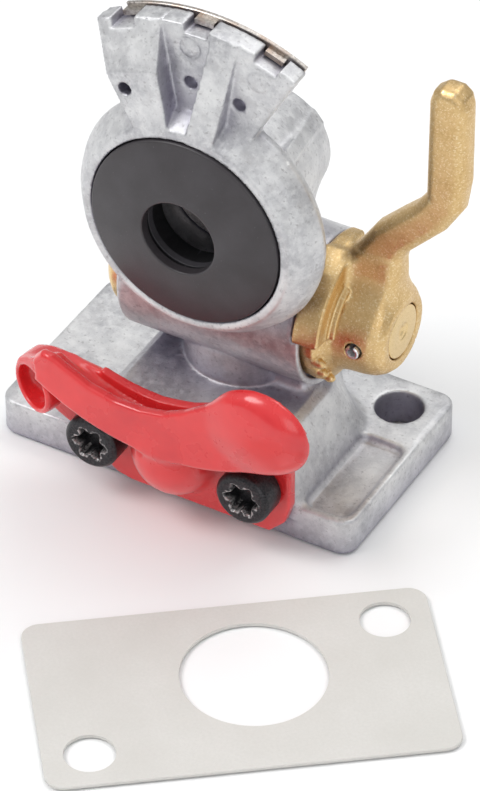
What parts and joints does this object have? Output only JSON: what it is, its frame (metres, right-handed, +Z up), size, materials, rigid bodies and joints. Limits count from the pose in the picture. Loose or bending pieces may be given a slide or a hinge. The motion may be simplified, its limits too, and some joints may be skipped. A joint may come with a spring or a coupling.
{
  "type": "palm coupling head with shut-off cock",
  "caption": "Flanged palm coupling head for a trailer air-brake line: cast body with face seal and sector, red claw, cross cock with brass lever, loose flange gasket.",
  "frame": {"origin": "on the floor under the centre of the whole set's bounding box", "axes": "+Z up, normal to the mounting flange; -Y is the side the seal and claw face; +X is the handle's side, along the cock's axis"},
  "size_m": [0.1362, 0.142, 0.123],
  "materials": {
    "cast_aluminium": "sand-cast, worn, satin",
    "cast_brass": "sand-cast, unpolished",
    "turned_brass": "turned, satin",
    "red_paint": "gloss red paint",
    "black_steel": "black oxide",
    "spring_steel": "plain spring steel",
    "black_rubber": "moulded rubber",
    "black_plastic": "moulded plastic",
    "gasket_board": "pressed fibre board"
  },
  "bodies": {
    "body": {"housing": "cast_aluminium", "wear_plate": "spring_steel", "face_seal": "black_rubber", "seal_ring": "black_plastic", "strainer": "black_plastic", "strainer_clip": "spring_steel", "thrust_washer": "black_plastic", "end_cap": "turned_brass", "end_cap_o_ring": "black_rubber", "plug_spring": "spring_steel", "claw": "red_paint", "claw_screw_left": "black_steel", "claw_screw_right": "black_steel"},
    "cock": {"cock_plug": "turned_brass", "plug_o_ring_left": "black_rubber", "plug_o_ring_right": "black_rubber", "spindle_o_ring": "black_rubber", "handle": "cast_brass", "roll_pin": "spring_steel"},
    "gasket_body": {"gasket": "gasket_board"}
  },
  "joints": [
    {"name": "handle_turn", "type": "hinge", "parent": "body", "child": "cock", "pos_m": [0.01799, 0.04822, 0.0428], "axis": [-1, 0, 0], "range_deg": [0, 90]},
    {"name": "gasket_lift", "type": "slide", "parent": "body", "child": "gasket_body", "axis": [0, 0, 1], "range_m": [0, 0.06]}
  ]
}
